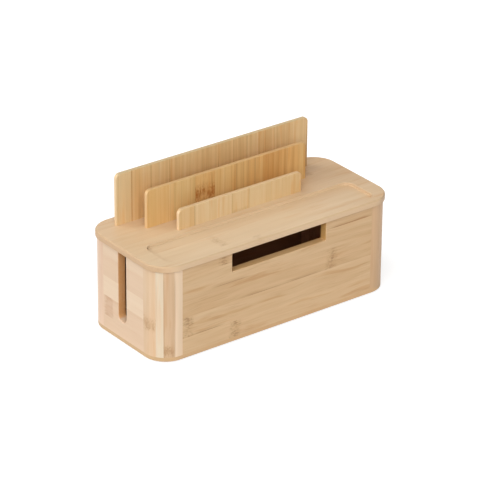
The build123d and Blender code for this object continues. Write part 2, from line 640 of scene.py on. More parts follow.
    def shade(
        self, tree: Tree, along: Source, tone: Source, streaks: Source, smears: Source,
        flame: Source,
    ) -> Node:
        """How pale the wood is: its tone and streaks, less what its smears, flames and fade take.

        Args:
            tree: The material's node tree.
            along: The place in mm along the grain.
            tone: The strip's tone.
            streaks: The fibre pattern.
            smears: How far the brown smears show.
            flame: How far the knuckle's flames show.

        Returns:
            The shade from 0, deep, to 1, pale.
        """
        shade = add_node(tree, "Math", [streaks, self.contrast, tone], operation="MULTIPLY_ADD")
        shade = add_node(tree, "Math", [smears, -self.smear, shade], operation="MULTIPLY_ADD")
        shade = add_node(tree, "Math", [shade, flame], operation="SUBTRACT")
        if not self.fade:
            return shade
        far = add_node(tree, "MapRange", [along, *self.FADE_SPAN])
        return add_node(tree, "Math", [far, -self.fade, shade], operation="MULTIPLY_ADD")

    def warmth(self, tree: Tree, place: Source, warmth: Source, smears: Source) -> Node:
        """How orange the wood is: the strip's warmth, more or less in patches and more in smears.

        Args:
            tree: The material's node tree.
            place: The place that the fibre patterns are read at.
            warmth: The strip's warmth.
            smears: How far the brown smears show.

        Returns:
            The warmth from 0, straw, to 1, orange.
        """
        blush = noise(tree, place, self.BLUSH)
        warmth = add_node(
            tree, "Math", [blush, self.BLUSH_WARMTH, warmth], operation="MULTIPLY_ADD"
        )
        return add_node(tree, "Math", [smears, self.SMEAR_WARMTH, warmth], operation="MULTIPLY_ADD")

    def bundles(self, tree: Tree, place: Source) -> Node:
        """Single stained bundles, at the peaks of a fine noise, where a slow one groups them.

        Args:
            tree: The material's node tree.
            place: The place that the fibre patterns are read at.

        Returns:
            How far they show.
        """
        single = Cloud((self.bundle_length, *self.BUNDLE_SECTION), *self.BUNDLE_EDGES, detail=1.0)
        length = self.GROUP_LENGTH * self.bundle_length
        group = Cloud((length, *self.GROUP_SECTION), *self.GROUP_EDGES)
        single = patches(tree, place, single, most=self.bundle_share, blend=Blend.SOFT)
        group = patches(tree, place, group)
        return add_node(tree, "Math", [single, group], operation="MULTIPLY")

    def knuckles(
        self, tree: Tree, along: Source, place: Source, share: Source
    ) -> tuple[Node, Node]:
        """Draws a strip's knuckle.

        Args:
            tree: The material's node tree.
            along: The place in mm along the grain.
            place: The place that the fibre patterns are read at.
            share: The knuckle's place as a share of SPAN.

        Returns:
            How strongly the flecked band and the flames of darker fibre past it show.
        """
        low, high = self.SPAN
        mark = self.knuckle
        middle = add_node(tree, "Math", [share, high - low, low], operation="MULTIPLY_ADD")
        offset = add_node(tree, "Math", [along, middle], operation="SUBTRACT")
        ragged = noise(tree, place, mark.RAGGED)
        offset = add_node(tree, "Math", [ragged, 2 * mark.wander, offset], operation="MULTIPLY_ADD")
        distance = add_node(tree, "Math", [offset], operation="ABSOLUTE")
        near = add_node(tree, "MapRange", [distance, 0.0, mark.half_length, 1.0, 0.0])
        shown = add_node(
            tree, "MapRange", [near, 0.0, mark.RIM], interpolation_type=Blend.SOFT.value
        )
        patchy = patches(tree, place, mark.PATCHES, least=mark.PALEST)
        shown = add_node(tree, "Math", [shown, patchy], operation="MULTIPLY")
        flecks = self.flecks(tree, place, near)
        band = add_node(tree, "Math", [shown, flecks], operation="MULTIPLY")
        past = add_node(tree, "MapRange", [offset, 0.0, mark.flame, mark.flame_strength, 0.0])
        begun = add_node(tree, "Math", [offset, 0.0], operation="GREATER_THAN")
        flame = add_node(tree, "Math", [past, begun], operation="MULTIPLY")
        tongues = patches(tree, place, mark.TONGUES)
        return band, add_node(tree, "Math", [flame, tongues], operation="MULTIPLY")

    def flecks(self, tree: Tree, place: Source, near: Source) -> Node:
        """A knuckle's flecks: the peaks of a noise, which widen towards the knuckle's middle.

        Args:
            tree: The material's node tree.
            place: The place that the fibre patterns are read at.
            near: From 0 at the knuckle's rim to 1 in its middle.

        Returns:
            How far they show.
        """
        mark = self.knuckle
        size = (mark.fleck_length, mark.fleck_width, mark.fleck_width)
        peaks = noise(tree, place, size, detail=1.0)
        crowded = add_node(tree, "Math", [near, mark.crowd, peaks], operation="MULTIPLY_ADD")
        return add_node(
            tree, "MapRange", [crowded, *mark.FLECK_EDGES, mark.STAIN, mark.strength]
        )

    def wood_colour(self, tree: Tree, shade: Source, warmth: Source) -> Node:
        """The wood's colour, between a ramp of straw tones and one of orange ones.

        Args:
            tree: The material's node tree.
            shade: From 0, deep, to 1, pale.
            warmth: From 0, straw, to 1, orange.

        Returns:
            A Mix node with the colour.
        """
        ramps = []
        for tones in (self.palette.straw, self.palette.orange):
            stops = [(share, linear(tone)) for share, tone in zip((0.0, 0.5, 1.0), tones)]
            ramps.append(set_stops(add_node(tree, "ValToRGB", [shade]), stops))
        mixed = {0: warmth, MIX_FROM: ramps[0], MIX_TO: ramps[1]}
        return add_node(tree, "Mix", mixed, data_type="RGBA")

    def seams_at(self, tree: Tree, share: Source) -> list[bpy.types.NodeSocket]:
        """Looks up the glue line at the start of the strip at a place.

        Args:
            tree: The material's node tree.
            share: How far across the board the place is, from 0 to 1.

        Returns:
            The middle of the line's seam as a share of SPAN, half the seam's length as a share of
            SPAN's end, and how far across the board the line lies.
        """
        low, high = self.SPAN
        stops = []
        for strip in self.strips:
            start, stop = strip.seam or self.NO_SEAM
            middle = ((start + stop) / 2 - low) / (high - low)
            # The ramp is read from a table, so the strip begins at the table's next entry.
            position = math.ceil(RAMP_STEPS * self.position(strip) - ROUNDING) / RAMP_STEPS
            stops.append((position, (middle, (stop - start) / 2 / high, position, 1.0)))
        ramp = set_stops(add_node(tree, "ValToRGB", [share]), stops, Blend.STEPPED)
        return list(add_node(tree, "SeparateColor", [ramp]).outputs)

    def glue_lines(self, tree: Tree, share: Source, along: Source, place: Source) -> Node:
        """Draws the glue lines, each at its strip's start.

        Args:
            tree: The material's node tree.
            share: How far across the board the place is, from 0 to 1.
            along: The place in mm along the grain.
            place: The place that the fibre patterns are read at.

        Returns:
            How strongly the glue and its bleed show.
        """
        low, high = self.SPAN
        glue = self.glue
        middle, half, begun = self.seams_at(tree, share)
        middle = add_node(tree, "Math", [middle, high - low, low], operation="MULTIPLY_ADD")
        away = add_node(tree, "Math", [along, middle], operation="SUBTRACT")
        away = add_node(tree, "Math", [away], operation="ABSOLUTE")
        within = add_node(tree, "Math", [half, high], operation="MULTIPLY")
        within = add_node(tree, "Math", [within, away], operation="SUBTRACT")
        seam = add_node(tree, "MapRange", [within, *glue.SEAM_ENDS, 0.0, glue.strength])
        depth = add_node(tree, "Math", [share, begun], operation="SUBTRACT")
        width = self.end - self.strips[0].start
        depth = add_node(tree, "Math", [depth, width], operation="MULTIPLY")
        line = add_node(tree, "Math", [depth, glue.width], operation="LESS_THAN")
        bled = add_node(tree, "MapRange", [depth, 0.0, glue.bleed, glue.BLEED_SHARE, 0.0])
        dark = add_node(tree, "Math", [line, bled], operation="MAXIMUM")
        dark = add_node(tree, "Math", [dark, seam], operation="MULTIPLY")
        faint = add_node(tree, "Math", [line, glue.faint], operation="MULTIPLY")
        shown = add_node(tree, "Math", [dark, faint], operation="MAXIMUM")
        stretches = Cloud((glue.stretch, *glue.STRETCH_SECTION), *glue.STRETCH_EDGES)
        broken = patches(tree, place, stretches, least=glue.PALEST)
        return add_node(tree, "Math", [shown, broken], operation="MULTIPLY")

    def facing(self, tree: Tree, axis: Axis, reach: float) -> Node:
        """How squarely a face looks along an axis, either way.

        Args:
            tree: The material's node tree.
            axis: The axis.
            reach: The cosine from which a face counts.

        Returns:
            0 up to that cosine, then rising to 1.
        """
        part = normal_along(tree, axis)
        part = add_node(tree, "Math", [part], operation="ABSOLUTE")
        return add_node(
            tree, "MapRange", [part, reach, reach + self.REACH_RISE],
            interpolation_type=Blend.SOFT.value,
        )

    def edge_shade_mask(self, tree: Tree, thickness: Axis) -> Node:
        """How far a bevel takes the painted shade that keeps eased edges from lighting up.

        That is 4 n^2 (1 - n^2), where n is the normal's part through the board, so it is full
        where the bevel lies halfway between face and side.

        Args:
            tree: The material's node tree.
            thickness: The axis through the board.

        Returns:
            The share.
        """
        part = normal_along(tree, thickness)
        squared = add_node(tree, "Math", [part, part], operation="MULTIPLY")
        rest = add_node(tree, "Math", [1.0, squared], operation="SUBTRACT")
        product = add_node(tree, "Math", [squared, rest], operation="MULTIPLY")
        return add_node(tree, "Math", [product, 4 * self.edge_shade_share], operation="MULTIPLY")

    def cut_ends(self, tree: Tree, across: Source, through: Source) -> Node:
        """How far a face that cuts the fibres takes the cut colour, dotted with the bundles' ends.

        Args:
            tree: The material's node tree.
            across: The place in mm across the grain.
            through: The place in mm through the board.

        Returns:
            The share.
        """
        section = add_node(tree, "CombineXYZ", [across, through])
        dots = add_node(tree, "TexVoronoi", {"Vector": section, "Scale": self.DOTS_PER_MM})
        between = self.BETWEEN_DOTS * self.cut_share
        dots = add_node(tree, "MapRange", [dots, *self.DOT_EDGES, self.cut_share, between])
        square = self.facing(tree, self.grain, self.cut_reach)
        return add_node(tree, "Math", [square, dots], operation="MULTIPLY")

    def inside(self, tree: Tree, places: list[bpy.types.NodeSocket]) -> Node:
        """How far a face takes the painted shade: the hollow's walls are darkened as if in shade.

        Args:
            tree: The material's node tree.
            places: The place in mm along X, Y and Z.

        Returns:
            The share, which is 0 outside the hollow.
        """
        share = self.inside_shade_share
        for place, lowest, highest in zip(places, *self.hollow):
            middle, half = (lowest + highest) / 2, (highest - lowest) / 2
            within = add_node(tree, "Math", [place, middle, half], operation="COMPARE")
            share = add_node(tree, "Math", [within, share], operation="MULTIPLY")
        return share

    def surface(self, tree: Tree, colour: Node, streaks: Source, band: Source) -> None:
        """Ends the material: fibres and flecks stand in slight relief under a satin lacquer.

        Args:
            tree: The material's node tree.
            colour: The wood's colour.
            streaks: The fibre pattern.
            band: The knuckles' flecks.
        """
        relief = add_node(
            tree, "Math", [band, -self.FLECK_DEPTH, streaks], operation="MULTIPLY_ADD"
        )
        bump = add_node(
            tree, "Bump",
            {"Strength": self.RELIEF_STRENGTH, "Distance": self.RELIEF * MM, "Height": relief},
        )
        rough, smooth = self.roughness + self.ROUGHER, self.roughness - self.SMOOTHER
        reach = self.FIBRE_RANGE
        gloss = add_node(tree, "MapRange", [streaks, -reach, reach, rough, smooth])
        shader = add_node(
            tree, "BsdfPrincipled",
            {"Base Color": colour.outputs[MIX_RESULT], "Roughness": gloss, "Normal": bump,
             "IOR": self.LACQUER_IOR},
        )
        add_node(tree, "OutputMaterial", [shader])


@dataclass(frozen=True)
class EvaFoam:
    """Closed-cell EVA foam, die-cut: charcoal and quite matt, with cells that show.

    Attributes:
        name: The material's name.
        dark: The colour in a cell's middle, as sRGB hex.
        light: The colour of the walls between cells.
        wall: How far from a cell's middle its wall's colour is full, in cells.
        cell: How large a cell is, in mm.
        relief: How deep a cell is, in mm.
        relief_strength: How strongly that shows.
        roughness: How matt it is.
    """

    name: str = "eva_foam"
    dark: str = "2b2a29"
    light: str = "45433f"
    wall: float = 0.7
    cell: float = 0.4
    relief: float = 0.05
    relief_strength: float = 0.6
    roughness: float = 0.85

    def material(self) -> bpy.types.Material:
        """Builds the material.

        Returns:
            The new material.
        """
        material = empty_material(self.name)
        tree = material.node_tree
        place = add_node(tree, "TexCoord").outputs["Object"]
        cells = add_node(tree, "TexVoronoi", {"Vector": place, "Scale": 1 / (self.cell * MM)})
        stops = [(0.0, linear(self.dark)), (self.wall, linear(self.light))]
        colour = set_stops(add_node(tree, "ValToRGB", [cells]), stops)
        bump = add_node(
            tree, "Bump",
            {"Strength": self.relief_strength, "Distance": self.relief * MM, "Height": cells},
        )
        shader = add_node(
            tree, "BsdfPrincipled",
            {"Base Color": colour, "Roughness": self.roughness, "Normal": bump},
        )
        add_node(tree, "OutputMaterial", [shader])
        return material


def dress(node_name: str, finish: LaminatedBamboo) -> None:
    """Gives a CAD node its finish and reports it.

    Args:
        node_name: The CAD node.
        finish: What it is made of.
    """
    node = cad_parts[node_name]
    material = finish.material()
    for place in node.material_slots:
        place.material = material
    log.info("%s: %s", node_name, finish.name)


# ---------------------------------------------------------------- the box


@dataclass
class Carcass:
    """The box itself: a bottom board, four panels, four corner posts and four pads.

    Attributes:
        half_length: Half the box's length, in mm.
        half_width: Just past half its width from front to back, in mm.
        wall_top: Where the panels' top strips end, in mm.
        post_leg: How far a corner post reaches along the front, in mm.
        floor_strip: How wide a strip of the bottom board is, in mm.
        inside_shade_share: How far the faces inside the box take the painted shade of its dark
            inside.
    """

    half_length: float = 165.0
    half_width: float = 75.0
    wall_top: float = 115.0
    post_leg: float = 31.0
    floor_strip: float = 25.0
    inside_shade_share: float = 0.75

    # The space inside the box, in mm, whose walls take the painted shade.
    HOLLOW = ((-155.0, -59.5, 6.3), (155.0, 59.5, 120.0))

    def front_panel(self) -> LaminatedBamboo:
        """The front panel's board.

        Returns:
            Strips about 25 mm tall along the front.
        """
        strips = (
            Strip(0.0, 0.58, 0.3, knuckle=-61.0),
            Strip(26.5, 0.53, 0.25, knuckle=-127.0, seam=(-120.0, -78.0)),
            Strip(51.5, 0.45, 0.3, knuckle=76.0, seam=(-52.0, 62.0)),
            Strip(76.5, 0.49, 0.25, seam=(-92.0, -42.0)),
            Strip(101.5, 0.47, 0.3, knuckle=-77.0, seam=(72.0, 134.0)),
            # The paler top strip is painted light against the shade under the lid's overhang, and
            # the glue line at its top on the right is a painted shadow line under the lid.
            Strip(110.8, 0.58, 0.3),
            Strip(111.9, 0.58, 0.3, seam=(76.0, 134.0)),
        )
        return self.panel("front_panel_bamboo", strips)

    def back_panel(self) -> LaminatedBamboo:
        """The back panel's board.

        Returns:
            Strips from the same stock as the front's.
        """
        strips = (
            Strip(0.0, 0.50, 0.3, knuckle=48.0),
            Strip(19.5, 0.46, 0.3, knuckle=-96.0),
            Strip(44.5, 0.55, 0.2, knuckle=110.0),
            Strip(69.5, 0.47, 0.3),
            Strip(94.5, 0.52, 0.2, knuckle=-118.0),
        )
        return self.panel("back_panel_bamboo", strips)

    def panel(self, name: str, strips: tuple[Strip, ...]) -> LaminatedBamboo:
        """A long panel's board.

        Args:
            name: The material's name.
            strips: Its strips from the bottom up.

        Returns:
            The board's finish.
        """
        palette = Palette(
            straw=("b18652", "d3b38a", "ead0a8"), orange=("af7741", "d5ab7c", "ebc89a"),
            glue="94632f", knuckle="8f6230", cut="c59650", side="c09458",
        )
        mark = Knuckle(
            half_length=9.0, fleck_length=3.8, fleck_width=1.3, crowd=0.28, strength=0.55
        )
        return LaminatedBamboo(
            name, Axis.X, Axis.Z, strips, self.wall_top, palette, knuckle=mark,
            glue=GlueLine(bleed=4.0, strength=0.85), contrast=0.8, smear=0.16, bundle_share=0.2,
            fade=0.06, cut_share=0.9, side_share=0.5, inside_shade_share=self.inside_shade_share, hollow=self.HOLLOW,
        )

    def end_panel(self, name: str, knuckle: float) -> LaminatedBamboo:
        """An end panel's board: paler, pinkish strips along the end.

        Args:
            name: The material's name.
            knuckle: Where the low strip's knuckle lies, in mm from front to back.

        Returns:
            The board's finish.
        """
        strips = (
            Strip(0.0, 0.51, 0.3),
            Strip(22.5, 0.50, 0.3, knuckle=knuckle),
            Strip(47.5, 0.68, 0.1),
            Strip(71.5, 0.51, 0.3),
            Strip(96.5, 0.58, 0.1),
        )
        palette = Palette(
            straw=("b7926e", "d4b99c", "e7d3b8"), orange=("b3835b", "d4b192", "e6cbaf"),
            knuckle="a0653c", cut="cf9352",
        )
        mark = Knuckle(
            half_length=10.0, wander=1.5, fleck_length=6.0, fleck_width=4.0, crowd=0.8,
            strength=0.36, flame_strength=0.0,
        )
        return LaminatedBamboo(
            name, Axis.Y, Axis.Z, strips, self.wall_top, palette, knuckle=mark,
            glue=GlueLine(faint=0.05), contrast=0.35, smear=0.05, cut_share=0.95,
            inside_shade_share=self.inside_shade_share, hollow=self.HOLLOW,
        )

    def post(
        self, name: str, end: End, tones: tuple[Strip, ...], palette: Palette
    ) -> LaminatedBamboo:
        """A corner post's board: upright strips, glued side by side along the front.

        Args:
            name: The material's name.
            end: The end of the box that it stands at.
            tones: Its strips, each with its start in mm from the box's end inwards.
            palette: Its colours.

        Returns:
            The board's finish.
        """
        insets = [strip.start for strip in tones] + [self.post_leg]
        # Along X a strip at the left end starts at its own inset, and one at the right end at
        # the next strip's.
        starts = insets[:-1] if end is End.LEFT else insets[1:]
        strips = [
            replace(strip, start=end.value * (self.half_length - inset))
            for strip, inset in zip(tones, starts)
        ]
        strips = tuple(sorted(strips, key=lambda strip: strip.start))
        last = self.half_length if end is End.RIGHT else self.post_leg - self.half_length
        mark = Knuckle(half_length=10.0, crowd=0.4, strength=0.5, flame_strength=0.08)
        return LaminatedBamboo(
            name, Axis.Z, Axis.X, strips, last, palette, knuckle=mark, glue=GlueLine(bleed=1.0),
            contrast=0.6, smear=0.08, wander=4.0, inside_shade_share=self.inside_shade_share, hollow=self.HOLLOW,
        )

    def bottom_board(self) -> LaminatedBamboo:
        """The bottom board.

        Returns:
            Strips along the box, a little different in tone.
        """
        starts = np.arange(-self.half_width, self.half_width, self.floor_strip).tolist()
        strips = tuple(
            Strip(start, tone=0.42 + 0.1 * (number * GOLDEN % 1), warmth=0.4)
            for number, start in enumerate(starts)
        )
        palette = Palette(cut="be9e76", side="cfa97c")
        return LaminatedBamboo(
            "bottom_board_bamboo", Axis.X, Axis.Y, strips, self.half_width, palette, contrast=0.5,
            cut_share=0.9, cut_reach=0.2, side_share=0.5, inside_shade_share=self.inside_shade_share,
            hollow=self.HOLLOW,
        )

    def dress_posts(self) -> None:
        """Gives the four corner posts their finishes, each post with colours of its own."""
        mixed = Palette(
            straw=("b18e61", "d0b493", "dfd2ba"), orange=("b08157", "d3ad87", "ecccaa"),
            knuckle="96682f",
        )
        rosy = replace(
            mixed, straw=("b18e61", "d6b79c", "e8d3bc"), orange=("b08157", "d6b396", "edcfb6")
        )
        tan = replace(
            mixed, straw=("b18e61", "d2b18a", "e6cca8"), orange=("b08157", "d9ae84", "ecc6a0")
        )
        # The rear right post's inside takes a paler painted shade, standing in for more light
        # reaching it.
        lighter_inside_shade = replace(mixed, inside_shade="b66a3a")
        tall = (0.0, 110.0)
        striped = (
            Strip(0.0, 0.56, 0.5, knuckle=46.0),
            Strip(4.0, 0.76, 0.0),
            Strip(9.8, 0.50, 0.5, knuckle=14.0, seam=tall),
            Strip(20.8, 0.96, 0.8, seam=tall),
        )
        plain = (Strip(0.0, 0.66, 1.0), Strip(7.0, 0.50, 0.6), Strip(19.0, 0.47, 0.5))
        pinkish = (Strip(0.0, 0.66, 0.7), Strip(6.0, 0.70, 0.5), Strip(22.0, 0.66, 0.5))
        looks = (
            (End.LEFT, striped, mixed), (End.RIGHT, plain, tan),
            (End.LEFT, pinkish, rosy), (End.RIGHT, striped, lighter_inside_shade),
        )
        for corner, look in zip(CORNERS, looks):
            dress(f"{corner}_post", self.post(f"{corner}_post_bamboo", *look))

    def dress(self) -> None:
        """Gives every piece of the box its finish."""
        dress("front_panel", self.front_panel())
        dress("back_panel", self.back_panel())
        dress("left_end_panel", self.end_panel("left_end_bamboo", knuckle=28.0))
        dress("right_end_panel", self.end_panel("right_end_bamboo", knuckle=-21.0))
        dress("bottom_board", self.bottom_board())
        self.dress_posts()
        for corner in CORNERS:
            AntiSlipPad(f"{corner}_foot").build()


@dataclass
class AntiSlipPad:
    """A stick-on anti-slip pad: a disc with a rounded rim and a slightly crowned foot.

    Attributes:
        node: The CAD node that it stands for.
        rim_radius: How round its lower rim is, in mm.
        crown: How far its middle stands below its rim, in mm.
        chamfer: How far its upper rim is cut off, in mm.
        top_ring: How far out the inner ring of points on its top lies, as a share of its radius.
        points: How many points its rim has, and its foot's curve.
        segments: How many steps it has round its axis.
    """

    node: str
    rim_radius: float = 0.6
    crown: float = 0.15
    chamfer: float = 0.1
    top_ring: float = 0.5
    points: int = 9
    segments: int = 64

    def profile(self, radius: float, height: float) -> np.ndarray:
        """The half section from near the top's centre round to near the foot's centre.

        The side is upright below a slight chamfer, the lower rim is a quarter circle, and the
        foot is a parabola that drops by the crown at its middle.

        Args:
            radius: The pad's radius, in metres.
            height: Its height, in metres.

        Returns:
            Distances from the axis and heights, as rows.
        """
        rim, crown, chamfer = (size * MM for size in (self.rim_radius, self.crown, self.chamfer))
        turn = np.linspace(0.0, math.pi / 2, self.points)
        corner = np.stack(
            [radius - rim + rim * np.cos(turn), crown + rim - rim * np.sin(turn)], axis=1
        )
        spread = np.linspace(1.0, 0.0, self.points)[1:-1]
        foot = np.stack([(radius - rim) * spread, crown * spread ** 2], axis=1)
        top = np.array([
            (self.top_ring * radius, height),
            (radius - chamfer, height),
            (radius, height - chamfer),
        ])
        return np.concatenate([top, corner, foot])

    def mesh(self) -> bpy.types.Mesh:
        """Carries the profile round the pad's axis and closes it at both centres.

        Returns:
            The closed surface of revolution, in the place of the pad's node.
        """
        low, high = (np.array(corner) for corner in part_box(self.node))
        centre = (low + high) / 2
        section = self.profile((high[0] - low[0]) / 2, high[2] - low[2])
        turn = np.linspace(0.0, 2 * math.pi, self.segments, endpoint=False)
        distance, level = section[:, :1], section[:, 1:]
        ring = np.stack([
            centre[0] + distance * np.cos(turn), centre[1] + distance * np.sin(turn),
            low[2] + level * np.ones_like(turn),
        ], axis=2)
        rows, steps = ring.shape[:2]
        poles = np.array([(centre[0], centre[1], high[2]), (centre[0], centre[1], low[2])])
        points = np.concatenate([ring.reshape(-1, 3), poles])
        here = np.arange(rows * steps).reshape(rows, steps)
        beside = np.roll(here, -1, axis=1)
        sides = np.stack([here[:-1], here[1:], beside[1:], beside[:-1]], axis=2).reshape(-1, 4)
        top = np.stack([np.full(steps, rows * steps), here[0], beside[0]], axis=1)
        foot = np.stack([np.full(steps, rows * steps + 1), beside[-1], here[-1]], axis=1)
        mesh = bpy.data.meshes.new(self.node + "_pad")
        mesh.from_pydata(points.tolist(), [], sides.tolist() + top.tolist() + foot.tolist())
        mesh.polygons.foreach_set("use_smooth", np.ones(len(mesh.polygons), dtype=bool))
        return mesh

    def build(self) -> None:
        """Makes the pad of foam and puts it in its node's stead."""
        mesh = self.mesh()
        mesh.materials.append(EvaFoam().material())
        pad = add_object(self.node + "_pad", mesh)
        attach(pad, "box")
        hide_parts(self.node)
        log.info("%s: anti-slip pad of EVA foam", self.node)


# ---------------------------------------------------------------- the lid


@dataclass
class Lid:
    """The lid: its board, three dividers and the blocks under its corners.

    Attributes:
        half_width: Just past half its board's width from front to back, in mm.
        divider_half_length: Just past half the length of the longest divider, in mm.
        block_reach: Just past where the blocks end, in mm to the front and back.
        block_strip: How wide a strip of the blocks' stock is, in mm.
    """

    half_width: float = 75.0
    divider_half_length: float = 140.0
    block_reach: float = 62.0
    block_strip: float = 21.0

    # The walls of the tray, in mm, without its floor; they take a painted shade, darker as shade in
    # the recess.
    TRAY_WALLS = ((-146.0, -61.7, 116.8), (146.0, -10.9, 119.9))
    # A glue line that shows from a divider's foot to its top, in mm.
    TALL = (110.0, 190.0)

    def board(self) -> LaminatedBamboo:
        """The lid's board.

        Returns:
            Strips along the box, the front ones the palest.
        """
        strips = (
            Strip(-75.0, 0.52, 0.1, knuckle=-28.0),
            Strip(-58.0, 0.53, 0.1, knuckle=-66.0),
            Strip(-28.0, 0.49, 0.2),
            Strip(2.0, 0.46, 0.3),
            # This strip's knuckle is painted shade: it darkens the lid between the back and middle
            # dividers, past the middle one's end.
            Strip(26.0, 0.48, 0.4, knuckle=120.0),
            Strip(50.0, 0.46, 0.4),
        )
        palette = Palette(
            straw=("b59064", "d3b996", "ead5b7"), orange=("b2814e", "d6b189", "eccea8"),
            cut="c19e79", side="e0be98", inside_shade="ccb594",
        )
        mark = Knuckle(strength=0.34, flame_strength=0.1)
        # The cut colour is the end grain's; its wide reach also lays it on the rounded corners and
        # the tray's coves as a painted shade that tames their highlight.
        return LaminatedBamboo(
            "lid_board_bamboo", Axis.X, Axis.Y, strips, self.half_width, palette, knuckle=mark,
            glue=GlueLine(faint=0.1), contrast=0.4, smear=0.07, fade=0.2, cut_share=0.95,
            cut_reach=0.15, side_share=0.6, edge_shade_share=0.7, inside_shade_share=0.5, hollow=self.TRAY_WALLS,
        )

    def back_divider(self) -> LaminatedBamboo:
        """The back divider's board.

        Returns:
            Upright strips with one thin dark one near the left.
        """
        tall, low = self.TALL, (100.0, 168.0)
        strips = (
            Strip(-140.0, 0.62, 0.2),
            Strip(-121.0, 0.64, 0.2, seam=tall),
            Strip(-118.6, 0.20, 0.6, seam=tall),
            Strip(-117.2, 0.50, 0.45, seam=tall),
            Strip(-104.6, 0.50, 0.35),
            Strip(-92.0, 0.49, 0.35, seam=tall),
            Strip(-67.5, 0.42, 0.4, seam=tall),
            Strip(-66.3, 0.42, 0.4, seam=low),
            Strip(-49.0, 0.47, 0.35),
            Strip(-18.5, 0.44, 0.35),
            Strip(2.0, 0.46, 0.35, seam=low),
            Strip(24.0, 0.46, 0.4),
            Strip(42.8, 0.52, 0.3, seam=tall),
            Strip(60.0, 0.45, 0.45, seam=low),
            Strip(84.0, 0.50, 0.35),
            Strip(106.0, 0.53, 0.35),
            # Painted shadow: these deeper strips with their dark glue lines at the right end stand
            # in for the middle divider's shadow.
            Strip(129.2, 0.48, 0.3, seam=low),
            Strip(130.2, 0.44, 0.3, seam=low),
            Strip(131.2, 0.42, 0.3, seam=low),
        )
        palette = Palette(
            straw=("b0864c", "d7b987", "e7d2ab"), orange=("aa7033", "d8a567", "e8c498"),
            cut="baa47d", side="dfbf96", edge="b8a078",
        )
        return self.divider("back_divider_bamboo", strips, palette)

    def middle_divider(self) -> LaminatedBamboo:
        """The middle divider's board.

        Returns:
            Orange upright strips with one bold knuckle.
        """
        strips = (
            Strip(-120.0, 0.61, 0.55),
            Strip(-78.0, 0.56, 0.3, seam=self.TALL),
            Strip(-57.0, 0.48, 0.4),
            Strip(-48.5, 0.47, 0.65, knuckle=140.0),
            Strip(-21.0, 0.50, 0.45),
            Strip(1.5, 0.46, 0.5),
            Strip(25.0, 0.41, 0.7, seam=self.TALL),
            Strip(36.0, 0.48, 0.6, seam=self.TALL),
            Strip(47.5, 0.36, 0.95),
            Strip(58.0, 0.38, 1.0),
            Strip(63.0, 0.41, 0.85),
            Strip(82.0, 0.46, 0.75),
            Strip(99.0, 0.47, 0.45),
        )
        palette = Palette(
            straw=("ad8345", "d4b57c", "e4cd9d"), orange=("a76d2e", "d5a15e", "e5c08b"),
            knuckle="a3642a", cut="bf9969", side="e1be90", edge="bf9969",
        )
        mark = Knuckle(
            half_length=17.0, wander=12.0, fleck_length=4.0, fleck_width=0.95, crowd=0.36,
            strength=0.95, flame=36.0, flame_strength=0.36,
        )
        return self.divider("middle_divider_bamboo", strips, palette, mark)

    def front_divider(self) -> LaminatedBamboo:
        """The front divider's board.

        Returns:
            Pale upright strips with quieter fibres than the other dividers'.
        """
        strips = (
            Strip(-95.0, 0.57, 0.35),
            Strip(-74.0, 0.52, 0.4),
            Strip(-68.9, 0.36, 0.35, seam=self.TALL),
            Strip(-67.5, 0.69, 0.3, seam=self.TALL),
            Strip(-43.5, 0.61, 0.2),
            Strip(-37.0, 0.68, 0.3),
            Strip(-16.0, 0.60, 0.3, knuckle=121.0, seam=self.TALL),
            Strip(7.4, 0.62, 0.25, seam=self.TALL),
            Strip(33.4, 0.58, 0.3),
            Strip(56.0, 0.58, 0.3),
        )
        palette = Palette(
            straw=("ac854d", "d3b889", "e3d1ad"), orange=("a66f34", "d4a468", "e4c399"),
            cut="cbab82", side="e9ceab", edge="cbab82",
        )
        mark = Knuckle(half_length=3.0, wander=2.0, strength=0.25, flame_strength=0.05)
        finish = self.divider("front_divider_bamboo", strips, palette, mark)
        return replace(finish, contrast=0.5, bundle_share=0.1)

    def divider(
        self, name: str, strips: tuple[Strip, ...], palette: Palette, mark: Knuckle = Knuckle()
    ) -> LaminatedBamboo:
        """A divider's board, with upright strips in bolder grain.

        Args:
            name: The material's name.
            strips: The strips from left to right.
            palette: Its colours.
            mark: How its knuckles look.

        Returns:
            The board's finish.
        """
        # A divider's ends take a paler side colour as a painted sheen, and its bevels the painted
        # shade.
        return LaminatedBamboo(
            name, Axis.Z, Axis.X, strips, self.divider_half_length, palette, BOLD_GRAIN, mark,
            glue=GlueLine(width=1.0, bleed=1.8, strength=0.8, stretch=120.0), contrast=0.75,
            smear=0.05, wander=3.0, bundle_share=0.3, bundle_length=200.0, cut_share=0.85,
            side_share=0.75, edge_shade_share=0.5,
        )

    def block(self, name: str) -> LaminatedBamboo:
        """A corner block's board, cut from an offcut.

        Args:
            name: The material's name.

        Returns:
            The board's finish.
        """
        starts = np.arange(-self.block_reach, self.block_reach, self.block_strip).tolist()
        strips = tuple(
            Strip(start, tone=0.5 + 0.1 * (number % 2)) for number, start in enumerate(starts)
        )
        return LaminatedBamboo(name, Axis.X, Axis.Y, strips, self.block_reach)

    def dress(self) -> None:
        """Gives every piece of the lid its finish."""
        dress("lid_board", self.board())
        dress("back_divider", self.back_divider())
        dress("middle_divider", self.middle_divider())
        dress("front_divider", self.front_divider())
        for corner in CORNERS:
            dress(f"{corner}_lid_block", self.block(f"{corner}_block_bamboo"))


# ---------------------------------------------------------------- the studio


@dataclass(frozen=True)
class Softbox:
    """A large softbox, so far off that it lights the whole floor evenly.

    Attributes:
        name: The lamp's name.
        towards: From the object to the lamp.
        spread: How wide the lamp looks from the object, in degrees.
        level: How bright it lights a white card that faces it, where 1 is full white.
    """

    name: str
    towards: Triple
    spread: float
    level: float

    def build(self) -> None:
        """Adds the lamp."""
        lamp = bpy.data.lights.new(self.name, "SUN")
        lamp.angle = math.radians(self.spread)
        lamp.energy = self.level * math.pi
        holder = add_object(self.name, lamp)
        holder.rotation_euler = Vector(self.towards).to_track_quat("Z", "Y").to_euler()


